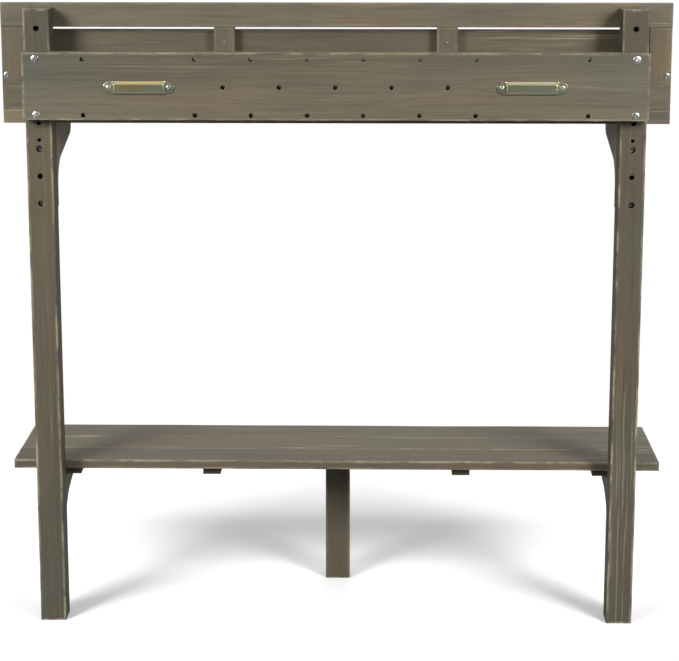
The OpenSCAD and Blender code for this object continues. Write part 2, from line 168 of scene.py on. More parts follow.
class MetalSettings(bpy.types.PropertyGroup):
    """Sizes and colours of the handles and screws"""

    zinc: FloatVectorProperty(
        name="Zinc", description="Bright zinc of the screws", subtype="COLOR",
        min=0.0, max=1.0, default=(0.78, 0.77, 0.71))
    yellow: FloatVectorProperty(
        name="Yellow plate", description="Yellow plate on the handles", subtype="COLOR",
        min=0.0, max=1.0, default=(0.52, 0.43, 0.20))
    olive: FloatVectorProperty(
        name="Olive plate", description="Green-grey bloom on the yellow plate",
        subtype="COLOR", min=0.0, max=1.0, default=(0.42, 0.46, 0.34))
    strap_thickness: FloatProperty(
        name="Strap thickness", description="Thickness of a handle's metal",
        unit="LENGTH", min=0.001, max=0.003, default=0.002)
    strap_pad: FloatProperty(
        name="Strap pad", description="Length of the flat pad at each end of a handle",
        unit="LENGTH", min=0.010, max=0.03, default=0.0135)
    strap_ramp: FloatProperty(
        name="Strap ramp", description="Length along which a handle rises from its pad",
        unit="LENGTH", min=0.001, max=0.02, default=0.0015)
    strap_fold: FloatProperty(
        name="Strap fold", description="How far a handle's long edges are folded back",
        unit="LENGTH", min=0.0, max=0.005, default=0.0030)
    thread_pitch: FloatProperty(
        name="Thread pitch", description="Distance between two turns of a screw's thread",
        unit="LENGTH", min=0.001, max=0.004, default=0.0024)
    screw_sides: IntProperty(
        name="Screw sides", description="Points round a screw's head", min=24, max=96,
        default=48)


class StageSettings(bpy.types.PropertyGroup):
    """Camera, lights and floor"""

    distance: FloatProperty(
        name="Camera distance", description="From the camera to the bench's front",
        unit="LENGTH", min=1.0, max=6.0, default=2.807)
    height: FloatProperty(
        name="Camera height", description="Camera's height above the floor",
        unit="LENGTH", min=0.2, max=3.0, default=1.110)
    offset: FloatProperty(
        name="Camera offset", description="Camera's distance to the right of the middle",
        unit="LENGTH", min=-1.0, max=1.0, default=0.053)
    aim: FloatProperty(
        name="Camera aim", description="How far right of the middle the camera looks",
        unit="LENGTH", min=-1.0, max=1.0, default=0.006)
    lens: FloatProperty(
        name="Lens", description="Focal length in millimetres", min=20.0, max=200.0,
        default=104.1)
    pitch: FloatProperty(
        name="Camera pitch", description="How far the camera looks down", subtype="ANGLE",
        min=0.0, max=math.pi / 2, default=math.radians(11.40))
    shift: FloatProperty(
        name="Lens shift", description="Share of the width that the view is moved up",
        min=-0.2, max=0.2, default=-0.09)
    softbox: FloatProperty(
        name="Softbox", description="Side of each front softbox", unit="LENGTH", min=0.2,
        max=4.0, default=1.25)
    softbox_side: FloatProperty(
        name="Softbox side", description="From the middle to each front softbox",
        unit="LENGTH", min=0.0, max=6.0, default=2.15)
    softbox_front: FloatProperty(
        name="Softbox front", description="From the bench's front to the front softboxes",
        unit="LENGTH", min=0.5, max=6.0, default=2.0)
    softbox_height: FloatProperty(
        name="Softbox height", description="Height of the front softboxes", unit="LENGTH",
        min=0.2, max=6.0, default=1.80)
    softbox_aim: FloatProperty(
        name="Softbox aim", description="From the middle to where each front softbox points",
        unit="LENGTH", min=-3.0, max=3.0, default=1.2)
    softbox_cone: FloatProperty(
        name="Softbox cone", description="Angle over which a front softbox throws its light",
        subtype="ANGLE", min=math.radians(20), max=math.pi, default=math.radians(70))
    front_power: FloatProperty(
        name="Front power", description="Power of each front softbox in watts", min=0.0,
        default=25.0)
    top_power: FloatProperty(
        name="Top power", description="Power of the overhead softbox in watts", min=0.0,
        default=22.0)
    rear_power: FloatProperty(
        name="Rear power", description="Power of the softbox behind in watts", min=0.0,
        default=20.0)
    ambient: FloatProperty(
        name="Ambient", description="Light from the dim room in front", min=0.0, max=2.0,
        default=0.10)
    backdrop: FloatProperty(
        name="Backdrop", description="Light from the white wall behind", min=0.0, max=2.0,
        default=0.50)
    floor: FloatVectorProperty(
        name="Floor", description="Colour of the floor", subtype="COLOR", min=0.0, max=1.0,
        default=(0.95, 0.95, 0.95))
    bounce: FloatProperty(
        name="Bounce", description="Share of its light that the floor throws on the bench",
        min=0.0, max=1.0, default=0.38)
    floor_radius: FloatProperty(
        name="Floor radius", description="Radius of the floor", unit="LENGTH", min=1.0,
        default=9.0)


class Graph:
    """One node tree, written as a formula: values and sockets go in, sockets come out."""

    def __init__(self, tree):
        self.tree = tree

    def add(self, kind, inputs=None, **options):
        """A node with its options set and its inputs set or linked."""
        node = self.tree.nodes.new(kind)
        for name, value in options.items():
            setattr(node, name, value)
        for name, value in (inputs or {}).items():
            self.put(node.inputs[name], value)
        return node

    def put(self, socket, value):
        if isinstance(value, bpy.types.NodeSocket):
            self.tree.links.new(value, socket)
        else:
            socket.default_value = value

    def math(self, operation, *values, clamp=False):
        inputs = dict(enumerate(values))
        return self.add(
            "ShaderNodeMath", inputs, operation=operation, use_clamp=clamp).outputs[0]

    def vector(self, operation, a, b):
        return self.add("ShaderNodeVectorMath", {0: a, 1: b}, operation=operation).outputs[0]

    def steps(self, value, low, high, to_low=0.0, to_high=1.0):
        """Smooth step of a value from low to high."""
        inputs = {"Value": value, "From Min": low, "From Max": high,
                  "To Min": to_low, "To Max": to_high}
        return self.add(
            "ShaderNodeMapRange", inputs, interpolation_type="SMOOTHSTEP").outputs[0]

    def blend(self, factor, a, b, mode="MIX"):
        inputs = {"Factor": factor, "A": a, "B": b}
        node = self.add("ShaderNodeMix", None, data_type="RGBA", blend_type=mode)
        for socket in node.inputs:
            if socket.name == "Factor" and socket.type == "VALUE":
                self.put(socket, inputs["Factor"])
            elif socket.name in ("A", "B") and socket.type == "RGBA":
                self.put(socket, inputs[socket.name])
        return next(s for s in node.outputs if s.type == "RGBA")

    def noise(self, place, stretch, detail=2.0, rough=0.5, output=0):
        """Noise stretched along the first axis of a place in metres."""
        scaled = self.vector("MULTIPLY", place, stretch)
        inputs = {"Vector": scaled, "Scale": 1.0, "Detail": detail, "Roughness": rough}
        return self.add("ShaderNodeTexNoise", inputs).outputs[output]


def colour(value):
    """A property's colour with its alpha."""
    return (*value, 1.0)


def stained_timber_group():
    """Node group of the stained timber, shared by every timber's own material."""
    stain = bpy.context.scene.bench_stain
    timber = bpy.context.scene.bench_timber
    tree = bpy.data.node_groups.new("Stained timber", "ShaderNodeTree")
    for name in ("Seed", "Half length", *(f.capitalize() for f in Stained._fields)):
        tree.interface.new_socket(name, in_out="INPUT", socket_type="NodeSocketFloat")
    tree.interface.new_socket("Color", in_out="OUTPUT", socket_type="NodeSocketColor")
    tree.interface.new_socket("Roughness", in_out="OUTPUT", socket_type="NodeSocketFloat")
    tree.interface.new_socket("Normal", in_out="OUTPUT", socket_type="NodeSocketVector")
    g = Graph(tree)
    given = g.add("NodeGroupInput").outputs

    def attribute(name, output):
        return g.add("ShaderNodeAttribute", attribute_name=name).outputs[output]

    local = attribute("grain_place", "Vector")
    rub = attribute("rub", "Fac")
    end_grain = attribute("end_grain", "Fac")
    bore_shade = attribute("bore_shade", "Fac")

    # Each piece is cut from another part of the same tree
    shift = g.add("ShaderNodeCombineXYZ", {0: given["Seed"], 1: 0.0, 2: 0.0}).outputs[0]
    place = g.vector("ADD", local, g.vector("MULTIPLY", shift, (3.71, 0.0, 0.0)))
    sway = g.noise(place, (3.2, 7.0, 7.0), 2.0, 0.5, 1)
    sway = g.vector("SUBTRACT", sway, (0.5, 0.5, 0.5))
    bent = g.vector("ADD", place, g.vector("MULTIPLY", sway, (0.0, 0.008, 0.008)))
    shiver = g.noise(place, (16.0, 40.0, 40.0), 2.0, 0.5, 1)
    shiver = g.vector("SUBTRACT", shiver, (0.5, 0.5, 0.5))
    bent = g.vector("ADD", bent, g.vector("MULTIPLY", shiver, (0.0, 0.0025, 0.0025)))

    # Knots: few cells of a flat pattern have one, and it goes right through the board
    cell = (0.23, 0.085, 1.0)
    spread = g.vector("DIVIDE", place, cell)
    cells = g.add("ShaderNodeTexVoronoi", {"Vector": spread, "Scale": 1.0},
                  voronoi_dimensions="2D")
    away = g.vector("SUBTRACT", spread, cells.outputs["Position"])
    away = g.vector("MULTIPLY", away, (cell[0], cell[1], 0.0))
    split = g.add("ShaderNodeSeparateXYZ", {0: cells.outputs["Color"]})
    has_knot = g.math("LESS_THAN", split.outputs[0], given["Knots"])
    knot_size = g.math("MULTIPLY_ADD", split.outputs[1], 0.0022, 0.0018)
    ragged = g.math("MULTIPLY_ADD", g.noise(place, (220.0, 220.0, 220.0)), 0.003, -0.0015)
    reach = g.vector("MULTIPLY", away, (0.72, 1.0, 0.0))
    gap = g.math("ADD", g.add("ShaderNodeVectorMath", {0: reach}, operation="LENGTH").outputs[1],
                 ragged)
    inside = g.math("DIVIDE", gap, knot_size)
    heart = g.math("MULTIPLY", g.steps(inside, 1.15, 0.55), has_knot)
    ring_round = g.math("MULTIPLY", g.steps(inside, 2.3, 1.0), has_knot)
    wide_reach = g.vector("MULTIPLY", away, (0.30, 1.0, 0.0))
    wide_gap = g.add("ShaderNodeVectorMath", {0: wide_reach}, operation="LENGTH").outputs[1]
    bulge = g.math("MULTIPLY", g.steps(wide_gap, 0.021, 0.0), has_knot)

    # Growth rings round a pith that wanders below the board's face
    parts = g.add("ShaderNodeSeparateXYZ", {0: bent})
    wander = g.noise(place, (2.1, 0.0, 0.0), 1.0)
    below = g.math("MULTIPLY_ADD", wander, 0.050, 0.004)
    lift = g.math("ADD", parts.outputs[2], below)
    pith = g.math("MULTIPLY_ADD", g.noise(shift, (0.77, 0.0, 0.0)), 0.11, -0.055)
    aside = g.math("ADD", parts.outputs[1], pith)
    radius = g.math("SQRT", g.math("ADD", g.math("MULTIPLY", aside, aside),
                                   g.math("MULTIPLY", lift, lift)))
    radius = g.math("DIVIDE", radius, timber.ring_gap)
    radius = g.math("ADD", radius, g.math("MULTIPLY", bulge, 2.6))
    phase = g.math("FRACT", radius)
    late = g.math("MULTIPLY", g.steps(phase, 0.35, 0.88), g.steps(phase, 1.0, 0.93))
    uneven = g.steps(g.noise(place, (1.6, 22.0, 22.0), 3.0), 0.30, 0.70)
    late = g.math("MULTIPLY", late, g.math("MULTIPLY_ADD", uneven, 0.75, 0.25))

    # Fibres, and the broad bands and patches in which the stain took
    fine = g.noise(bent, (16.0, 1150.0, 1150.0), 3.0, 0.6)
    fibre = g.noise(bent, (7.0, 330.0, 330.0), 4.0, 0.65)
    band = g.noise(bent, (1.4, 44.0, 44.0), 4.0, 0.6)
    broad = g.noise(bent, (0.9, 13.0, 13.0), 2.0, 0.5)
    patch = g.noise(place, (3.3, 10.0, 10.0), 3.0, 0.55)
    cloud = g.noise(place, (11.0, 26.0, 26.0), 3.0, 0.6)

    along = g.add("ShaderNodeSeparateXYZ", {0: local}).outputs[0]
    to_end = g.math("DIVIDE", g.math("ABSOLUTE", along), given["Half length"])
    near_end = g.steps(to_end, 0.62, 1.0)
    # Drift in tone along the grain: on the posts a painted light growing upwards, on the rear
    # leg a painted shade at its top
    drift_and_shade = g.math("MULTIPLY", g.math("DIVIDE", along, given["Half length"]), given["Lean"])

    tan_share = g.math("MULTIPLY", g.steps(band, 0.40, 0.66), given["Tan"])
    tan_share = g.math("MULTIPLY", tan_share, g.math("MULTIPLY_ADD", near_end, -0.6, 1.0))
    tan_share = g.math("MULTIPLY_ADD", drift_and_shade, 0.5, tan_share, clamp=True)
    green_share = g.math("ADD", g.steps(patch, 0.42, 0.66), g.math("MULTIPLY", near_end, 0.65))
    green_share = g.math("MULTIPLY", green_share, given["Green"])
    green_share = g.math("MULTIPLY_ADD", drift_and_shade, -0.3, green_share, clamp=True)
    shade = g.blend(tan_share, colour(stain.stain), colour(stain.tan))
    shade = g.blend(green_share, shade, colour(stain.green))
    line_share = g.math("MULTIPLY", late, 0.13)
    shade = g.blend(line_share, shade, colour(stain.grain))
    dark_fibre = g.math("MULTIPLY", g.steps(fibre, 0.48, 0.26), 0.34)
    shade = g.blend(dark_fibre, shade, colour(stain.grain))

    # Lightness of the fibres, bands and clouds, and of the drift along the grain, as one factor
    # near 1. On the posts the drift is painted light, on the rear leg painted shade.
    light = given["Tone"]
    for cause, gain, least in (
            (fibre, 0.42, 0.79), (fine, 0.34, 0.83), (cloud, 0.24, 0.88),
            (broad, 0.44, 0.78), (band, 0.36, 0.82), (drift_and_shade, 0.16, 1.00)):
        light = g.math("MULTIPLY", light, g.math("MULTIPLY_ADD", cause, gain, least))
    light = g.add("ShaderNodeCombineXYZ", {0: light, 1: light, 2: light}).outputs[0]
    shade = g.blend(1.0, shade, light, "MULTIPLY")

    # Torn grain and scuffs, where the stain didn't take
    torn = g.noise(bent, (5.5, 300.0, 300.0), 2.0, 0.55)
    where = g.steps(g.noise(place, (2.3, 30.0, 30.0), 2.0), 0.52, 0.64)
    torn = g.math("MULTIPLY", g.steps(torn, 0.56, 0.66), where)
    torn = g.math("MULTIPLY", torn, given["Pale"])
    shade = g.blend(torn, shade, colour(stain.cream))

    # Knots lie over the grain, and the wood round them is darker
    shade = g.blend(g.math("MULTIPLY", ring_round, 0.45), shade, colour(stain.grain))
    shade = g.blend(g.math("MULTIPLY", heart, 0.92), shade, colour(stain.knot))

    # End grain drinks more stain
    pores = g.noise(place, (900.0, 900.0, 900.0), 2.0, 0.6)
    end_dark = g.math("MULTIPLY", end_grain, g.math("MULTIPLY_ADD", pores, 0.5, 0.18))
    shade = g.blend(end_dark, shade, colour(stain.grain))

    # Painted shade: the walls of the holes are darkened almost to the knot colour, for the shade
    # inside them
    shade = g.blend(g.math("MULTIPLY", bore_shade, 0.96), shade, colour(stain.knot))

    # Rubbed arrises show the bare wood in uneven lengths
    wear_long = g.noise(place, (26.0, 90.0, 90.0), 3.0, 0.6)
    wear_short = g.noise(place, (150.0, 500.0, 500.0), 2.0, 0.6)
    wear = g.math("MULTIPLY_ADD", wear_short, 0.35, wear_long)
    rubbed = g.math("MULTIPLY", rub, g.steps(wear, 0.52, 0.86))
    rubbed = g.math("MULTIPLY", rubbed, given["Rub"])
    shade = g.blend(rubbed, shade, colour(stain.cream))

    rough = g.math("MULTIPLY_ADD", fibre, 0.16, 0.52)
    rough = g.math("MULTIPLY_ADD", late, -0.06, rough)
    height = 0.0
    for cause, rise in (
            (fibre, 0.55), (fine, 0.35), (late, 0.30), (torn, -0.45), (heart, -0.30)):
        height = g.math("MULTIPLY_ADD", cause, rise, height)
    bump = g.add("ShaderNodeBump", {"Height": height, "Strength": 0.55, "Distance": 0.0007})

    result = g.add("NodeGroupOutput")
    g.put(result.inputs["Color"], shade)
    g.put(result.inputs["Roughness"], rough)
    g.put(result.inputs["Normal"], bump.outputs[0])
    return tree


def new_material(name):
    """An empty node material, with its graph and its shader."""
    material = bpy.data.materials.new(name)
    material.use_nodes = True
    material.node_tree.nodes.clear()
    graph = Graph(material.node_tree)
    shader = graph.add("ShaderNodeBsdfPrincipled")
    output = graph.add("ShaderNodeOutputMaterial")
    graph.put(output.inputs["Surface"], shader.outputs[0])
    return material, graph, shader


def timber_material(node, seed, half_length):
    """Stained timber with this piece's own share of each colour."""
    tree = bpy.data.node_groups.get("Stained timber") or stained_timber_group()
    material, graph, shader = new_material(node + "_stain")
    group = graph.add("ShaderNodeGroup", node_tree=tree)
    group.inputs["Seed"].default_value = float(seed)
    group.inputs["Half length"].default_value = half_length
    for name, value in TIMBERS[node]._asdict().items():
        group.inputs[name.capitalize()].default_value = value
    graph.put(shader.inputs["Base Color"], group.outputs["Color"])
    graph.put(shader.inputs["Roughness"], group.outputs["Roughness"])
    graph.put(shader.inputs["Normal"], group.outputs["Normal"])
    shader.inputs["Specular IOR Level"].default_value = 0.22
    return material


def beech_material():
    """Plain beech with short flecks, for the dowels."""
    stain = bpy.context.scene.bench_stain
    material, graph, shader = new_material("beech")
    place = graph.add("ShaderNodeTexCoord").outputs["Object"]
    fleck = graph.noise(place, (900.0, 120.0, 900.0), 3.0, 0.6)
    ring = graph.noise(place, (260.0, 24.0, 260.0), 2.0, 0.5)
    dark = tuple(0.72 * c for c in stain.beech)
    shade = graph.blend(graph.steps(ring, 0.35, 0.65), colour(dark), colour(stain.beech))
    shade = graph.blend(graph.math("MULTIPLY", graph.steps(fleck, 0.58, 0.72), 0.4),
                        shade, colour(tuple(0.5 * c for c in stain.beech)))
    graph.put(shader.inputs["Base Color"], shade)
    graph.put(shader.inputs["Roughness"], graph.math("MULTIPLY_ADD", fleck, 0.2, 0.5))
    bump = graph.add("ShaderNodeBump", {"Height": fleck, "Strength": 0.4, "Distance": 0.0003})
    graph.put(shader.inputs["Normal"], bump.outputs[0])
    return material


def metal_material(name, light, dull, streak, rough):
    """Plated steel: two shades in soft blooms, fine scratches along X and small stains."""
    material, graph, shader = new_material(name)
    place = graph.add("ShaderNodeTexCoord").outputs["Object"]
    bloom = graph.noise(place, (14.0, 60.0, 70.0), 3.0, 0.55)
    scratch = graph.noise(place, (90.0, 1500.0, streak), 3.0, 0.7)
    spot = graph.noise(place, (420.0, 420.0, 420.0), 2.0, 0.6)
    shade = graph.blend(graph.steps(bloom, 0.38, 0.62), colour(light), colour(dull))
    shade = graph.blend(graph.math("MULTIPLY", graph.steps(spot, 0.60, 0.72), 0.35),
                        shade, colour(tuple(0.45 * c for c in dull)))
    graph.put(shader.inputs["Base Color"], shade)
    uneven = graph.math("MULTIPLY_ADD", scratch, 0.18, rough)
    uneven = graph.math("MULTIPLY_ADD", bloom, 0.12, uneven)
    graph.put(shader.inputs["Roughness"], uneven)
    bump = graph.add("ShaderNodeBump", {"Height": scratch, "Strength": 0.22,
                                        "Distance": 0.0002})
    graph.put(shader.inputs["Normal"], bump.outputs[0])
    shader.inputs["Metallic"].default_value = 1.0
    return material


def place_piece(name, mesh, materials, nodes):
    """A finished mesh becomes a piece that rides on the frame and stands for its CAD node."""
    piece = bpy.data.objects.new(name, mesh)
    bpy.context.scene.collection.objects.link(piece)
    for material in materials:
        mesh.materials.append(material)
    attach(piece, "root")
    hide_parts(*nodes)
    return piece


def axes_of(node):
    """Axes of a timber: along its grain, across its face and through its thickness."""
    low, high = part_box(node)
    return sorted(range(3), key=lambda axis: low[axis] - high[axis])


def on_box(face, low, high):
    """True if a face lies in one of the six planes of its piece's box."""
    close = 2e-5
    return any(
        all(abs(v.co[axis] - limit[axis]) < close for v in face.verts)
        for axis in range(3) for limit in (low, high))


def sharp_outer_edges(made, low, high):
    """Edges of the end faces and of the holes' mouths."""
    steep = math.radians(50)
    return [
        e for e in made.edges
        if len(e.link_faces) == 2 and e.calc_face_angle(0.0) > steep
        and any(on_box(f, low, high) for f in e.link_faces)]


def cut(made, axis, where):
    """Adds a section across the mesh, in the plane at a place on an axis."""
    normal = Vector((0.0, 0.0, 0.0))
    normal[axis] = 1.0
    everything = made.verts[:] + made.edges[:] + made.faces[:]
    bmesh.ops.bisect_plane(
        made, geom=everything, plane_co=normal * where, plane_no=normal, dist=1e-7)


def timber_mesh(node, seed):
    """The CAD timber with chamfered ends and hole mouths and unevenly worn arrises."""
    sizes = bpy.context.scene.bench_timber
    low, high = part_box(node)
    along, wide, thick = axes_of(node)
    made = bmesh.new()
    made.from_mesh(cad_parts[node].data)
    chamfer = made.faces.layers.int.new("chamfer")
    bmesh.ops.remove_doubles(made, verts=made.verts, dist=1e-6)
    bmesh.ops.dissolve_limit(
        made, angle_limit=math.radians(0.5), verts=made.verts, edges=made.edges)
    bevelled = bmesh.ops.bevel(
        made, geom=sharp_outer_edges(made, low, high), offset=sizes.end_arris,
        offset_type="OFFSET", segments=2, profile=0.6, affect="EDGES", clamp_overlap=False)
    for face in bevelled["faces"]:
        face[chamfer] = 1
    for axis in (along, wide, thick):
        for where in (low[axis] + sizes.rub_reach, high[axis] - sizes.rub_reach):
            cut(made, axis, where)
    length = high[along] - low[along]
    sections = max(4, round(length / sizes.wear_step))
    for i in range(1, sections):
        jitter = 0.3 * noise.noise((i * 1.7, seed * 5.3, 0.0))
        cut(made, along, low[along] + length * (i + jitter) / sections)
    wear_arrises(made, low, high, (along, wide, thick), seed)
    outlined = node.endswith(("_bracket", "_panel"))
    mark_wear_and_shade(made, low, high, (along, wide, thick), chamfer, outlined)
    if node.startswith("shelf_") and node.endswith("_board"):
        bow_board(made, low, high, seed)
    mesh = bpy.data.meshes.new(node + "_mesh")
    made.to_mesh(mesh)
    made.free()
    mesh.shade_smooth()
    mesh.set_sharp_from_angle(angle=math.radians(32))
    return mesh


def nearest(value, low, high):
    """The nearer of two limits, and the distance from it."""
    limit = low if value - low < high - value else high
    return limit, abs(value - limit)


def wear_arrises(made, low, high, axes, seed):
    """Rounds the long arrises by a different amount at each section."""
    sizes = bpy.context.scene.bench_timber
    along, wide, thick = axes
    reach = sizes.arris * 1.02
    for v in made.verts:
        wide_limit, wide_gap = nearest(v.co[wide], low[wide], high[wide])
        thick_limit, thick_gap = nearest(v.co[thick], low[thick], high[thick])
        if wide_gap > reach or thick_gap > reach:
            continue
        corner = 3.1 * (wide_limit > 0) + 5.7 * (thick_limit == high[thick])
        slow = noise.noise((v.co[along] * 7.0, corner, seed * 2.3))
        quick = noise.noise((v.co[along] * 31.0, corner + 9.0, seed * 2.3))
        worn = min(1.0, max(0.0, 0.25 + 1.1 * slow + 0.45 * quick))
        grow = 1.0 + (sizes.wear_most - 1.0) * worn
        v.co[wide] = wide_limit + (v.co[wide] - wide_limit) * grow
        v.co[thick] = thick_limit + (v.co[thick] - thick_limit) * grow


def bow_board(made, low, high, seed):
    """Lets a shelf board dip a little along its length, as a flat-sawn board does."""
    dip = bpy.context.scene.bench_timber.board_dip
    for v in made.verts:
        wave = noise.noise((v.co.x * 4.3, seed * 3.7, 1.0))
        share = (v.co.z - low.z) / (high.z - low.z)
        v.co.z -= dip * (0.5 + wave) * share


def mark_wear_and_shade(made, low, high, axes, chamfer, outlined):
    """Stores what the stain needs: places along the grain, rubbed arrises, ends, and the bore
    walls that get painted shade.
    """
    sizes = bpy.context.scene.bench_timber
    along, wide, thick = axes
    rub = made.loops.layers.float.new("rub")
    place = made.verts.layers.float_vector.new("grain_place")
    end_grain = made.faces.layers.float.new("end_grain")
    bore_shade = made.faces.layers.float.new("bore_shade")
    middle = (low + high) / 2
    reach = sizes.arris * sizes.wear_most * 1.02
    for v in made.verts:
        away = v.co - middle
        v[place] = (away[along], away[wide], away[thick])
    for face in made.faces:
        face[end_grain] = 1.0 if abs(face.normal[along]) > 0.8 else 0.0
        at_edge = 0
        for loop in face.loops:
            gaps = [nearest(loop.vert.co[axis], low[axis], high[axis])[1] for axis in axes]
            near = sum(gap < reach for gap in gaps)
            at_edge += near > 1
            loop[rub] = 1.0 if face[chamfer] or near > 1 else 0.0
        # Faces inside the holes, off the box planes and away from its edges, are marked for
        # painted shade
        inner = not (face[chamfer] or at_edge or outlined or on_box(face, low, high))
        face[bore_shade] = 1.0 if inner else 0.0


def make_timber(node):
    """One timber with its wear, its stain and smooth shading over the arrises."""
    seed = list(TIMBERS).index(node) + 1
    low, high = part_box(node)
    half_length = max(high - low) / 2
    material = timber_material(node, seed, half_length)
    piece = place_piece(
        node + "_timber", timber_mesh(node, seed), [material], [node])
    shading = piece.modifiers.new("Even shading", "WEIGHTED_NORMAL")
    shading.keep_sharp = True
    return piece


def islands(node):
    """Points of each separate solid in a CAD node."""
    made = bmesh.new()
    made.from_mesh(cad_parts[node].data)
    bmesh.ops.remove_doubles(made, verts=made.verts, dist=1e-6)
    left = set(made.verts)
    found = []
    while left:
        stack = [left.pop()]
        points = []
        while stack:
            v = stack.pop()
            points.append(v.co.copy())
            for edge in v.link_edges:
                other = edge.other_vert(v)
                if other in left:
                    left.remove(other)
                    stack.append(other)
        found.append(points)
    made.free()
    return sorted(found, key=lambda points: tuple(round(c, 4) for c in sum(points, Vector())))


class Fastener:
    """Where one screw is: its head's middle at the surface, its direction and its sizes."""

    def __init__(self, points):
        low = Vector(min(p[i] for p in points) for i in range(3))
        high = Vector(max(p[i] for p in points) for i in range(3))
        self.axis = max(range(3), key=lambda i: high[i] - low[i])
        across = [i for i in range(3) if i != self.axis]
        middle = (low + high) / 2

        def radius(p):
            return math.hypot(*(p[i] - middle[i] for i in across))

        self.head = max(radius(p) for p in points)
        rim = [p[self.axis] for p in points if radius(p) > 0.98 * self.head]
        level = sum(rim) / len(rim)
        to_high = high[self.axis] - level
        to_low = level - low[self.axis]
        self.sign = 1.0 if to_high > to_low else -1.0
        self.crown = min(to_high, to_low)
        self.length = max(to_high, to_low)
        self.at = middle.copy()
        self.at[self.axis] = level

    def matrix(self, turn):
        """Turns the screw's own Z into its direction, after a turn about itself."""
        direction = Vector((0.0, 0.0, 0.0))
        direction[self.axis] = self.sign
        stand = direction.to_track_quat("Z", "Y").to_matrix().to_4x4()
        return Matrix.Translation(self.at) @ stand @ Matrix.Rotation(turn, 4, "Z")


# A screw's head is drawn with this many rings, and two more stand round its rim
HEAD_RINGS = 15
# Depth of the cross recess, as a share of the head's radius
RECESS_DEPTH = 0.42


def cross_recess(x, y, head):
    """Depth of the cross recess at a place on the head, as a share of its full depth."""
    depth = 0.0
    for far, near in ((x, y), (y, x)):
        reach = abs(far) / (0.60 * head)
        half = 0.135 * head * (1.0 - 0.45 * reach)
        if reach < 1.0 and abs(near) < half:
            depth = max(depth, (1.0 - reach ** 2) * min(1.0, 3.0 * (1 - abs(near) / half)))
    return depth


def screw_rings(screw, sides, pitch):
    """Rings of points of a screw, from the middle of its head to its tip."""
    head, crown = screw.head, screw.crown
    rings = []
    for i in range(1, HEAD_RINGS + 1):
        r = head * 0.985 * i / HEAD_RINGS
        ring = []
        for k in range(sides):
            angle = 2 * math.pi * k / sides
            x, y = r * math.cos(angle), r * math.sin(angle)
            dome = crown * math.sqrt(1 - (r / head) ** 2 * 0.96)
            sunk = RECESS_DEPTH * head * cross_recess(x, y, head)
            ring.append(Vector((x, y, sunk - dome)))
        rings.append(ring)
    shank, root, thread = 0.0019, 0.0013, 0.00065
    cone_end, tip = 0.0030, 0.0045

    def plain(r, z):
        return [Vector((r * math.cos(2 * math.pi * k / sides),
                        r * math.sin(2 * math.pi * k / sides), z)) for k in range(sides)]

    rings.append(plain(head, -0.0001))
    rings.append(plain(head, 0.0001))
    rings.append(plain(shank, cone_end))
    smooth_end = cone_end + 0.25 * (screw.length - cone_end)
    rings.append(plain(shank, smooth_end))
    steps = max(6, round(3 * (screw.length - tip - smooth_end) / pitch))
    for i in range(1, steps + 1):
        z = smooth_end + (screw.length - tip - smooth_end) * i / steps
        ring = []
        for k in range(sides):
            turn = k / sides
            phase = (z / pitch - turn) % 1.0
            ridge = max(0.0, 1.0 - abs(phase - 0.5) / 0.22)
            r = root + thread * ridge
            ring.append(Vector((r * math.cos(2 * math.pi * turn),
                                r * math.sin(2 * math.pi * turn), z)))
        rings.append(ring)
    rings.append(plain(0.0003, screw.length - 0.0004))
    return rings


def add_screw(made, screw, turn, sides, pitch):
    """Adds one screw to a mesh: domed head, cross recess, cone, thread and tip."""
    stand = screw.matrix(turn)
    thread_sides = sides // 4
    rings = screw_rings(screw, sides, pitch)
    head_count = HEAD_RINGS + 2
    first = made.verts.new(stand @ Vector((0, 0, RECESS_DEPTH * screw.head - screw.crown)))
    last = None
    for number, ring in enumerate(rings):
        if number >= head_count:
            ring = ring[::sides // thread_sides]
        verts = [made.verts.new(stand @ p) for p in ring]
        count = len(verts)
        if last is None:
            for k in range(count):
                made.faces.new((first, verts[(k + 1) % count], verts[k]))
        elif len(last) == count:
            for k in range(count):
                made.faces.new((last[k], last[(k + 1) % count], verts[(k + 1) % count],
                                verts[k]))
        else:
            ratio = len(last) // count
            for k in range(count):
                span = [last[(k * ratio + j) % len(last)] for j in range(ratio + 1)]
                made.faces.new((*span, verts[(k + 1) % count], verts[k]))
        last = verts
    tip = made.verts.new(stand @ Vector((0, 0, screw.length)))
    for k in range(len(last)):
        made.faces.new((last[k], last[(k + 1) % len(last)], tip))


def make_screws(node, material):
    """All the screws of one CAD node, each driven home at its own angle."""
    metal = bpy.context.scene.bench_metal
    made = bmesh.new()
    for number, points in enumerate(islands(node)):
        turn = math.pi * noise.noise((number * 2.7, len(node) * 1.3, 4.0))
        add_screw(made, Fastener(points), turn, metal.screw_sides, metal.thread_pitch)
    bmesh.ops.recalc_face_normals(made, faces=made.faces)
    mesh = bpy.data.meshes.new(node + "_mesh")
    made.to_mesh(mesh)
    made.free()
    mesh.shade_smooth()
    mesh.set_sharp_from_angle(angle=math.radians(38))
    return place_piece(node + "_plated", mesh, [material], [node])


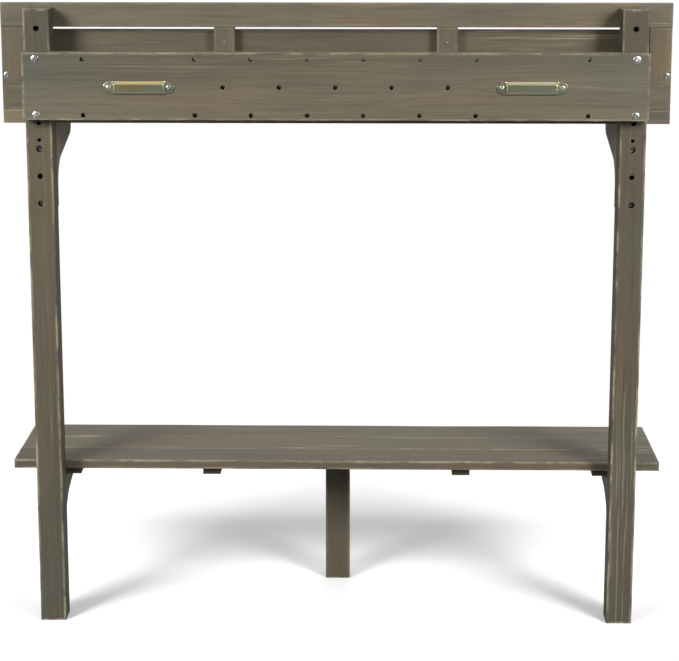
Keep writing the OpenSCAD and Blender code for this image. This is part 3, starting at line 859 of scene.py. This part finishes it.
def strap_line(half, rise, pad, ramp, thickness):
    """Middle line of a strap handle from end to end: place along, height and slope."""
    stations = []
    bend = min(0.0030, (rise - thickness) * 0.45)
    corners = [(half - pad, 0.0), (half - pad - ramp, rise - thickness)]
    points = [(half, 0.0)]
    for i, (x, h) in enumerate(corners):
        before = Vector(points[-1] if i == 0 else corners[0])
        here = Vector((x, h))
        after = Vector(corners[1] if i == 0 else (0.0, corners[1][1]))
        start = here + (before - here).normalized() * bend
        end = here + (after - here).normalized() * bend
        for k in range(7):
            t = k / 6
            curve = start * (1 - t) ** 2 + here * 2 * t * (1 - t) + end * t ** 2
            points.append(tuple(curve))
    right = [Vector(p) for p in points]
    tail = [right[1] + (right[0] - right[1]) * t for t in
            (math.sin(math.pi / 2 * i / 12) for i in range(12, 0, -1))]
    right = tail + right[1:]
    span = [Vector((right[-1].x * (1 - 2 * i / 10), right[-1].y)) for i in range(1, 10)]
    left = [Vector((-p.x, p.y)) for p in reversed(right)]
    line = right + span + left
    for i, p in enumerate(line):
        before = line[max(0, i - 1)]
        after = line[min(len(line) - 1, i + 1)]
        slope = (before - after).normalized()
        stations.append((p, Vector((-slope.y, slope.x))))
    return stations


def strap_section(half_width, thickness, fold):
    """Outline of a strap's section: a flat face whose long edges are folded back."""
    stops = (0.985, 0.93, 0.80, 0.66, 0.57, 0.50, 0.42)
    shares = [-stop for stop in stops] + [0.0] + list(reversed(stops))
    flat = 0.50
    thinning = 80.0

    def drop(share):
        past = max(0.0, abs(share) - flat) / (1.0 - flat)
        return fold * past ** 1.25

    thin = thickness * (1.0 - thinning * fold)
    front = [(half_width * share, thickness - drop(share)) for share in shares]
    back = [(across, out - thin) for across, out in reversed(front)]
    side = half_width
    low_edge = thickness - drop(1.0)
    return [(-side, low_edge - thin * 0.75), (-side, low_edge - thin * 0.25), *front,
            (side, low_edge - thin * 0.25), (side, low_edge - thin * 0.75), *back]


def make_handle(node, material):
    """Strap handle with rounded pads, smooth bends, bevelled edges and its screw holes."""
    metal = bpy.context.scene.bench_metal
    low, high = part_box(node)
    middle = (low + high) / 2
    half, half_width = (high.x - low.x) / 2, (high.z - low.z) / 2
    fold_from, fold_over, least_fold = 0.35, 0.5, 0.0003
    made = bmesh.new()
    last = None
    rise = high.y - low.y
    line = strap_line(half, rise, metal.strap_pad, metal.strap_ramp, metal.strap_thickness)
    for p, up in line:
        past = max(0.0, abs(p.x) - (half - half_width)) / half_width
        width = half_width * math.sqrt(max(0.0025, 1.0 - past ** 2))
        climb = p.y / (rise - metal.strap_thickness)
        raised = min(1.0, max(0.0, climb - fold_from) / fold_over)
        fold = metal.strap_fold * raised + least_fold
        section = strap_section(width, metal.strap_thickness, fold)
        ring = []
        for across, out in section:
            at = p + up * out
            ring.append(made.verts.new(
                (middle.x + at.x, high.y - at.y, middle.z + across)))
        if last:
            for k in range(len(ring)):
                j = (k + 1) % len(ring)
                made.faces.new((last[k], last[j], ring[j], ring[k]))
        else:
            made.faces.new(ring)
        last = ring
    made.faces.new(list(reversed(last)))
    bmesh.ops.recalc_face_normals(made, faces=made.faces)
    mesh = bpy.data.meshes.new(node + "_mesh")
    made.to_mesh(mesh)
    made.free()
    piece = place_piece(node + "_strap", mesh, [material], [node])
    drill_handle(piece, node)
    piece.data.shade_smooth()
    piece.data.set_sharp_from_angle(angle=math.radians(28))
    shading = piece.modifiers.new("Even shading", "WEIGHTED_NORMAL")
    shading.keep_sharp = True
    return piece


def drill_handle(piece, node):
    """Sinks a round seat into a handle's pads for the head of each of its screws."""
    above, below, play = 0.0024, 0.0016, 1.04
    low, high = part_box(node)
    for points in islands("handle_screws"):
        screw = Fastener(points)
        if not low.x < screw.at.x < high.x:
            continue
        radius = screw.head * play
        centre = Matrix.Translation((0.0, 0.0, (below - above) / 2))
        drill = bmesh.new()
        bmesh.ops.create_cone(
            drill, cap_ends=True, segments=32, radius1=radius, radius2=radius,
            depth=above + below, matrix=screw.matrix(0.0) @ centre)
        bmesh.ops.recalc_face_normals(drill, faces=drill.faces)
        tool_mesh = bpy.data.meshes.new("drill")
        drill.to_mesh(tool_mesh)
        drill.free()
        tool = bpy.data.objects.new("drill", tool_mesh)
        bpy.context.scene.collection.objects.link(tool)
        cutter = piece.modifiers.new("Drill", "BOOLEAN")
        cutter.operation = "DIFFERENCE"
        cutter.solver = "EXACT"
        cutter.use_self = True
        cutter.object = tool
        bpy.context.view_layer.update()
        depsgraph = bpy.context.evaluated_depsgraph_get()
        drilled = bpy.data.meshes.new_from_object(piece.evaluated_get(depsgraph))
        piece.modifiers.clear()
        piece.data = drilled
        bpy.data.objects.remove(tool)


def add_softbox(name, place, target, side, power, cone=math.pi):
    """Square soft light that stands at a place and points at a target."""
    data = bpy.data.lights.new(name, "AREA")
    data.shape = "SQUARE"
    data.size = side
    data.energy = power
    data.spread = cone
    light = bpy.data.objects.new(name, data)
    bpy.context.scene.collection.objects.link(light)
    light.location = place
    light.rotation_mode = "QUATERNION"
    light.rotation_quaternion = (Vector(target) - Vector(place)).to_track_quat("-Z", "Y")
    return light


class TimberOperator:
    """Shared by the operators that finish timbers."""

    bl_options = {"REGISTER", "UNDO"}
    timbers = ()

    def execute(self, context):
        for node in self.timbers:
            make_timber(node)
        return {"FINISHED"}


class BENCH_OT_posts(TimberOperator, bpy.types.Operator):
    """Finishes the two posts and the rear leg"""

    bl_idname = "bench.posts"
    bl_label = "Posts and Leg"
    timbers = ("left_post", "right_post", "rear_leg")


class BENCH_OT_hook_board(TimberOperator, bpy.types.Operator):
    """Finishes the board that is drilled for hooks"""

    bl_idname = "bench.hook_board"
    bl_label = "Hook Board"
    timbers = ("hook_board",)


class BENCH_OT_worktop(TimberOperator, bpy.types.Operator):
    """Finishes the three boards of the worktop"""

    bl_idname = "bench.worktop"
    bl_label = "Worktop"
    timbers = tuple(n for n in TIMBERS if n.startswith("worktop_"))


class BENCH_OT_frame(TimberOperator, bpy.types.Operator):
    """Finishes the rails, stiles and dividers, and the board behind them"""

    bl_idname = "bench.frame"
    bl_label = "Frame"
    timbers = tuple(n for n in TIMBERS if n.startswith(("frame_", "backing_")))


class BENCH_OT_end_panels(TimberOperator, bpy.types.Operator):
    """Finishes the two curved end panels"""

    bl_idname = "bench.end_panels"
    bl_label = "End Panels"
    timbers = tuple(n for n in TIMBERS if n.endswith("_end_panel"))


class BENCH_OT_brackets(TimberOperator, bpy.types.Operator):
    """Finishes the brackets under the worktop and the shelf"""

    bl_idname = "bench.brackets"
    bl_label = "Brackets"
    timbers = tuple(n for n in TIMBERS if n.endswith("_bracket"))


class BENCH_OT_shelf(TimberOperator, bpy.types.Operator):
    """Finishes the shelf's boards and the battens under them"""

    bl_idname = "bench.shelf"
    bl_label = "Shelf"
    timbers = tuple(n for n in TIMBERS if n.startswith("shelf_"))


class BENCH_OT_handles(bpy.types.Operator):
    """Makes the two strap handles"""

    bl_idname = "bench.handles"
    bl_label = "Handles"
    bl_options = {"REGISTER", "UNDO"}

    def execute(self, context):
        metal = context.scene.bench_metal
        material = metal_material(
            "yellow_plate", tuple(metal.yellow), tuple(metal.olive), 1500.0, 0.20)
        for node in ("left_handle", "right_handle"):
            make_handle(node, material)
        return {"FINISHED"}


class BENCH_OT_screws(bpy.types.Operator):
    """Makes every screw, with its domed head, cross recess and thread"""

    bl_idname = "bench.screws"
    bl_label = "Screws"
    bl_options = {"REGISTER", "UNDO"}

    def execute(self, context):
        metal = context.scene.bench_metal
        dull = tuple(0.62 * c for c in metal.zinc)
        material = metal_material("bright_zinc", tuple(metal.zinc), dull, 900.0, 0.16)
        for node in SCREWS:
            make_screws(node, material)
        return {"FINISHED"}


class BENCH_OT_dowels(bpy.types.Operator):
    """Gives the hidden dowels their plain beech"""

    bl_idname = "bench.dowels"
    bl_label = "Dowels"
    bl_options = {"REGISTER", "UNDO"}

    def execute(self, context):
        material = beech_material()
        for node in DOWELS:
            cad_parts[node].data.materials[0] = material
        return {"FINISHED"}


class BENCH_OT_stage(bpy.types.Operator):
    """Sets up the floor, the soft lights, the white surroundings and the camera"""

    bl_idname = "bench.stage"
    bl_label = "Stage"
    bl_options = {"REGISTER", "UNDO"}

    def execute(self, context):
        stage = context.scene.bench_stage
        low, high = CAD_BOX
        self.floor(stage, low)
        self.lights(stage, (low + high) / 2)
        self.surroundings(context, stage)
        self.camera(context, stage)
        context.scene.view_settings.view_transform = "Standard"
        return {"FINISHED"}

    def floor(self, stage, low):
        made = bmesh.new()
        bmesh.ops.create_circle(
            made, cap_ends=True, segments=96, radius=stage.floor_radius,
            matrix=Matrix.Translation((0, 0, low.z)))
        mesh = bpy.data.meshes.new("floor")
        made.to_mesh(mesh)
        made.free()
        floor = bpy.data.objects.new("floor", mesh)
        bpy.context.scene.collection.objects.link(floor)
        mesh.materials.append(self.floor_material(stage))

    def floor_material(self, stage):
        """Pale floor that keeps its soft shadows near the bench and is plain white beyond."""
        material, graph, shader = new_material("studio_floor")
        place = graph.add("ShaderNodeTexCoord").outputs["Object"]
        mottle = graph.noise(place, (0.8, 0.8, 0.8), 2.0, 0.5)
        dim = tuple(0.985 * c for c in stage.floor)
        shade = graph.blend(mottle, colour(stage.floor), colour(dim))
        seen = graph.add("ShaderNodeLightPath").outputs["Is Camera Ray"]
        thrown = colour(tuple(stage.bounce * c for c in stage.floor))
        graph.put(shader.inputs["Base Color"], graph.blend(seen, thrown, shade))
        shader.inputs["Roughness"].default_value = 0.9
        shader.inputs["Specular IOR Level"].default_value = 0.1
        squeezed = graph.vector("MULTIPLY", place, (0.62, 1.0, 1.0))
        away = graph.add("ShaderNodeVectorMath", {0: squeezed}, operation="LENGTH").outputs[1]
        beyond = graph.math("MULTIPLY", graph.steps(away, 0.60, 1.15), seen)
        white = graph.add("ShaderNodeEmission", {"Strength": 1.02})
        both = graph.add("ShaderNodeMixShader", {0: beyond})
        graph.put(both.inputs[1], shader.outputs[0])
        graph.put(both.inputs[2], white.outputs[0])
        output = next(n for n in material.node_tree.nodes if n.type == "OUTPUT_MATERIAL")
        graph.put(output.inputs["Surface"], both.outputs[0])
        return material

    def lights(self, stage, middle):
        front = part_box("left_post")[0].y
        for name, side in (("left_softbox", -1), ("right_softbox", 1)):
            place = (side * stage.softbox_side, front - stage.softbox_front,
                     stage.softbox_height)
            target = (side * stage.softbox_aim, front, middle.z)
            add_softbox(name, place, target, stage.softbox, stage.front_power,
                        stage.softbox_cone)
        above = middle + Vector((0.0, -0.3, 2.6))
        add_softbox("top_softbox", above, middle, 2.4, stage.top_power)
        behind = middle + Vector((0.0, 2.8, 1.9))
        add_softbox("rear_softbox", behind, middle, 2.0, stage.rear_power)

    def surroundings(self, context, stage):
        world = bpy.data.worlds.new("white_studio")
        world.use_nodes = True
        world.node_tree.nodes.clear()
        graph = Graph(world.node_tree)
        way = graph.add("ShaderNodeTexCoord").outputs["Generated"]
        split = graph.add("ShaderNodeSeparateXYZ", {0: way})
        rear = graph.steps(split.outputs["Y"], -0.1, 0.6)
        lit = graph.math("MULTIPLY_ADD", rear, stage.backdrop - stage.ambient, stage.ambient)
        seen = graph.add("ShaderNodeLightPath").outputs["Is Camera Ray"]
        strength = graph.math("MAXIMUM", graph.math("MULTIPLY", seen, 1.02), lit)
        light = graph.add("ShaderNodeBackground", {"Strength": strength})
        light.inputs["Color"].default_value = (1.0, 1.0, 1.0, 1.0)
        output = graph.add("ShaderNodeOutputWorld")
        graph.put(output.inputs["Surface"], light.outputs[0])
        context.scene.world = world

    def camera(self, context, stage):
        data = bpy.data.cameras.new("camera")
        data.lens = stage.lens
        data.shift_y = stage.shift
        data.clip_end = 60.0
        camera = bpy.data.objects.new("camera", data)
        context.scene.collection.objects.link(camera)
        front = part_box("left_post")[0].y
        camera.location = (stage.offset, front - stage.distance, stage.height)
        yaw = math.atan2(stage.offset - stage.aim, stage.distance)
        camera.rotation_euler = (math.pi / 2 - stage.pitch, 0.0, yaw)
        context.scene.camera = camera


class BENCH_PT_maker(bpy.types.Panel):
    """Lists the steps that finish the bench, with their settings"""

    bl_label = "Potting Bench"
    bl_idname = "BENCH_PT_maker"
    bl_space_type = "VIEW_3D"
    bl_region_type = "UI"
    bl_category = "Bench"

    def draw(self, context):
        layout = self.layout
        for operator in OPERATORS:
            layout.operator(operator.bl_idname)
        for name, group in SETTINGS.items():
            box = layout.box()
            box.label(text=group.__doc__)
            for setting in group.__annotations__:
                box.prop(getattr(context.scene, name), setting)


OPERATORS = (
    BENCH_OT_posts, BENCH_OT_hook_board, BENCH_OT_worktop, BENCH_OT_frame,
    BENCH_OT_end_panels, BENCH_OT_brackets, BENCH_OT_shelf, BENCH_OT_handles,
    BENCH_OT_screws, BENCH_OT_dowels, BENCH_OT_stage,
)
SETTINGS = {
    "bench_stain": StainSettings,
    "bench_timber": TimberSettings,
    "bench_metal": MetalSettings,
    "bench_stage": StageSettings,
}


def register():
    for name, group in SETTINGS.items():
        bpy.utils.register_class(group)
        setattr(bpy.types.Scene, name, PointerProperty(type=group))
    for operator in OPERATORS:
        bpy.utils.register_class(operator)
    bpy.utils.register_class(BENCH_PT_maker)


def unregister():
    bpy.utils.unregister_class(BENCH_PT_maker)
    for operator in reversed(OPERATORS):
        bpy.utils.unregister_class(operator)
    for name, group in SETTINGS.items():
        delattr(bpy.types.Scene, name)
        bpy.utils.unregister_class(group)


def main():
    register()
    bpy.ops.bench.posts()
    bpy.ops.bench.hook_board()
    bpy.ops.bench.worktop()
    bpy.ops.bench.frame()
    bpy.ops.bench.end_panels()
    bpy.ops.bench.brackets()
    bpy.ops.bench.shelf()
    bpy.ops.bench.handles()
    bpy.ops.bench.screws()
    bpy.ops.bench.dowels()
    bpy.ops.bench.stage()


if __name__ == "__main__":
    main()
